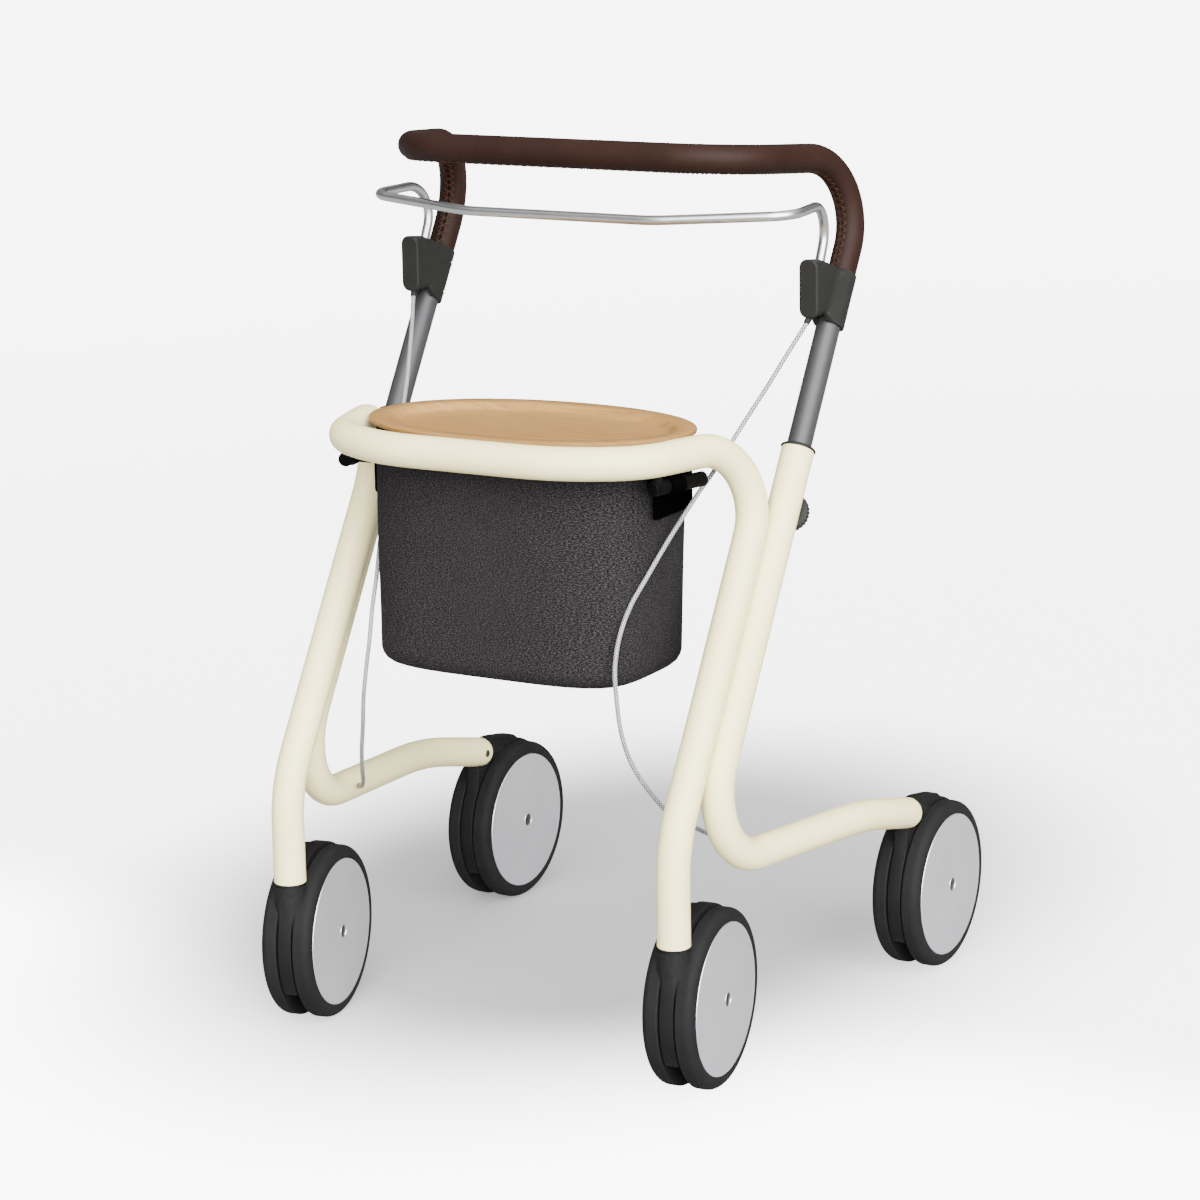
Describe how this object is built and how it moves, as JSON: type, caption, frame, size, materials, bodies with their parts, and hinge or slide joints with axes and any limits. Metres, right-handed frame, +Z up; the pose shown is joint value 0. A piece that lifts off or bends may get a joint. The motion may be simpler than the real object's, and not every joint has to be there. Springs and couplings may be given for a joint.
{
  "type": "four-wheel rollator",
  "caption": "Rollator with a bent-tube frame, height-adjustable leather-covered handle, full-width brake bar, swivelling front wheels, cloth bag and wooden tray.",
  "frame": {"origin": "on the floor, in the middle of the length and width of the object as it stands", "axes": "+Z up, front at -Y, the user's left at +X, the user walks behind it towards -Y"},
  "size_m": [0.573, 0.5978, 0.8844],
  "materials": {
    "cream_lacquer": "satin lacquer",
    "grey_aluminium": "matt anodised",
    "satin_steel": "satin",
    "brown_leather": "fine grain, cross-stitched",
    "dark_olive_plastic": "fine moulded grain",
    "black_plastic": "matt",
    "grey_tyre": "matt",
    "brushed_disc": "turned and brushed",
    "anthracite_cloth": "melange felt",
    "light_wood": "satin lacquered",
    "cable_braid": "braided sleeve"
  },
  "bodies": {
    "frame": {"front_frame": "cream_lacquer", "rear_tube_left": "cream_lacquer", "rear_tube_screw_left": "satin_steel", "stem_collar_left": "black_plastic", "stem_bush_left": "black_plastic", "bag_rail_left": "black_plastic", "bag_hanger_left": "black_plastic", "rear_carrier_left": "dark_olive_plastic", "axle_rear_left": "satin_steel", "rear_tube_right": "cream_lacquer", "rear_tube_screw_right": "satin_steel", "stem_collar_right": "black_plastic", "stem_bush_right": "black_plastic", "bag_rail_right": "black_plastic", "bag_hanger_right": "black_plastic", "rear_carrier_right": "dark_olive_plastic", "axle_rear_right": "satin_steel", "bag": "anthracite_cloth"},
    "handle": {"handlebar_tube": "grey_aluminium", "leather_grip": "brown_leather", "brake_housing_left": "dark_olive_plastic", "housing_screw_left_upper": "satin_steel", "housing_screw_left_lower": "satin_steel", "brake_cable_left": "cable_braid", "brake_housing_right": "dark_olive_plastic", "housing_screw_right_upper": "satin_steel", "housing_screw_right_lower": "satin_steel", "brake_cable_right": "cable_braid"},
    "brake": {"brake_bar": "satin_steel", "brake_slider_left": "black_plastic", "brake_slider_right": "black_plastic"},
    "shoe_left": {"brake_shoe_left": "black_plastic"},
    "shoe_right": {"brake_shoe_right": "black_plastic"},
    "knob_left": {"clamp_knob_left": "dark_olive_plastic"},
    "knob_right": {"clamp_knob_right": "dark_olive_plastic"},
    "caster_left": {"caster_body_left": "dark_olive_plastic", "caster_stem_left": "satin_steel", "axle_front_left": "satin_steel"},
    "rolling_front_left_outer": {"wheel_front_left_outer": "grey_tyre", "wheel_disc_front_left_outer": "brushed_disc"},
    "rolling_rear_left_outer": {"wheel_rear_left_outer": "grey_tyre", "wheel_disc_rear_left_outer": "brushed_disc"},
    "rolling_front_left_inner": {"wheel_front_left_inner": "grey_tyre", "wheel_disc_front_left_inner": "brushed_disc"},
    "rolling_rear_left_inner": {"wheel_rear_left_inner": "grey_tyre", "wheel_disc_rear_left_inner": "brushed_disc"},
    "caster_right": {"caster_body_right": "dark_olive_plastic", "caster_stem_right": "satin_steel", "axle_front_right": "satin_steel"},
    "rolling_front_right_outer": {"wheel_front_right_outer": "grey_tyre", "wheel_disc_front_right_outer": "brushed_disc"},
    "rolling_rear_right_outer": {"wheel_rear_right_outer": "grey_tyre", "wheel_disc_rear_right_outer": "brushed_disc"},
    "rolling_front_right_inner": {"wheel_front_right_inner": "grey_tyre", "wheel_disc_front_right_inner": "brushed_disc"},
    "rolling_rear_right_inner": {"wheel_rear_right_inner": "grey_tyre", "wheel_disc_rear_right_inner": "brushed_disc"},
    "tray": {"tray": "light_wood"}
  },
  "joints": [
    {"name": "handle_slide", "type": "slide", "parent": "frame", "child": "handle", "axis": [0, 0.5208, 0.8537], "range_m": [-0.08, 0.06], "deforming": ["brake_cable_left", "brake_cable_right"]},
    {"name": "brake_slide", "type": "slide", "parent": "handle", "child": "brake", "axis": [0, 0.4216, 0.9068], "range_m": [-0.01, 0.02], "stiffness_N_per_m": 600, "springref_m": 0.0045},
    {"name": "shoe_left_slide", "type": "slide", "parent": "frame", "child": "shoe_left", "axis": [0, 0, 1], "range_m": [-0.0006, 0.0012]},
    {"name": "shoe_right_slide", "type": "slide", "parent": "frame", "child": "shoe_right", "axis": [0, 0, 1], "range_m": [-0.0006, 0.0012]},
    {"name": "knob_left_turn", "type": "hinge", "parent": "frame", "child": "knob_left", "pos_m": [0.2299, -0.06493, 0.541], "axis": [-0.2079, 0.835, -0.5094], "range_deg": [0, 1080]},
    {"name": "knob_right_turn", "type": "hinge", "parent": "frame", "child": "knob_right", "pos_m": [-0.2299, -0.06493, 0.541], "axis": [0.2079, 0.835, -0.5094], "range_deg": [0, 1080]},
    {"name": "caster_left_swivel", "type": "hinge", "parent": "frame", "child": "caster_left", "pos_m": [0.2165, -0.2723, 0.1575], "axis": [0, 0, 1], "continuous": true},
    {"name": "wheel_front_left_outer_spin", "type": "hinge", "parent": "caster_left", "child": "rolling_front_left_outer", "pos_m": [0.21035, -0.2084, 0.0875], "axis": [0.9954, 0.0958, 0], "continuous": true},
    {"name": "wheel_rear_left_outer_spin", "type": "hinge", "parent": "frame", "child": "rolling_rear_left_outer", "pos_m": [0.258, 0.2114, 0.0875], "axis": [1, 0, 0], "continuous": true},
    {"name": "wheel_front_left_inner_spin", "type": "hinge", "parent": "caster_left", "child": "rolling_front_left_inner", "pos_m": [0.21035, -0.2084, 0.0875], "axis": [0.9954, 0.0958, 0], "continuous": true},
    {"name": "wheel_rear_left_inner_spin", "type": "hinge", "parent": "frame", "child": "rolling_rear_left_inner", "pos_m": [0.258, 0.2114, 0.0875], "axis": [1, 0, 0], "continuous": true},
    {"name": "caster_right_swivel", "type": "hinge", "parent": "frame", "child": "caster_right", "pos_m": [-0.2165, -0.2723, 0.1575], "axis": [0, 0, 1], "continuous": true},
    {"name": "wheel_front_right_outer_spin", "type": "hinge", "parent": "caster_right", "child": "rolling_front_right_outer", "pos_m": [-0.22897, -0.20932, 0.0875], "axis": [0.981, 0.1942, 0], "continuous": true},
    {"name": "wheel_rear_right_outer_spin", "type": "hinge", "parent": "frame", "child": "rolling_rear_right_outer", "pos_m": [-0.258, 0.2114, 0.0875], "axis": [1, 0, 0], "continuous": true},
    {"name": "wheel_front_right_inner_spin", "type": "hinge", "parent": "caster_right", "child": "rolling_front_right_inner", "pos_m": [-0.22897, -0.20932, 0.0875], "axis": [0.981, 0.1942, 0], "continuous": true},
    {"name": "wheel_rear_right_inner_spin", "type": "hinge", "parent": "frame", "child": "rolling_rear_right_inner", "pos_m": [-0.258, 0.2114, 0.0875], "axis": [1, 0, 0], "continuous": true},
    {"name": "tray_lift", "type": "slide", "parent": "frame", "child": "tray", "axis": [0, 0, 1], "range_m": [0, 0.08]}
  ],
  "couplings": [
    {"joint": "shoe_left_slide", "follows": "brake_slide", "ratio": 0.06},
    {"joint": "shoe_right_slide", "follows": "brake_slide", "ratio": 0.06}
  ]
}
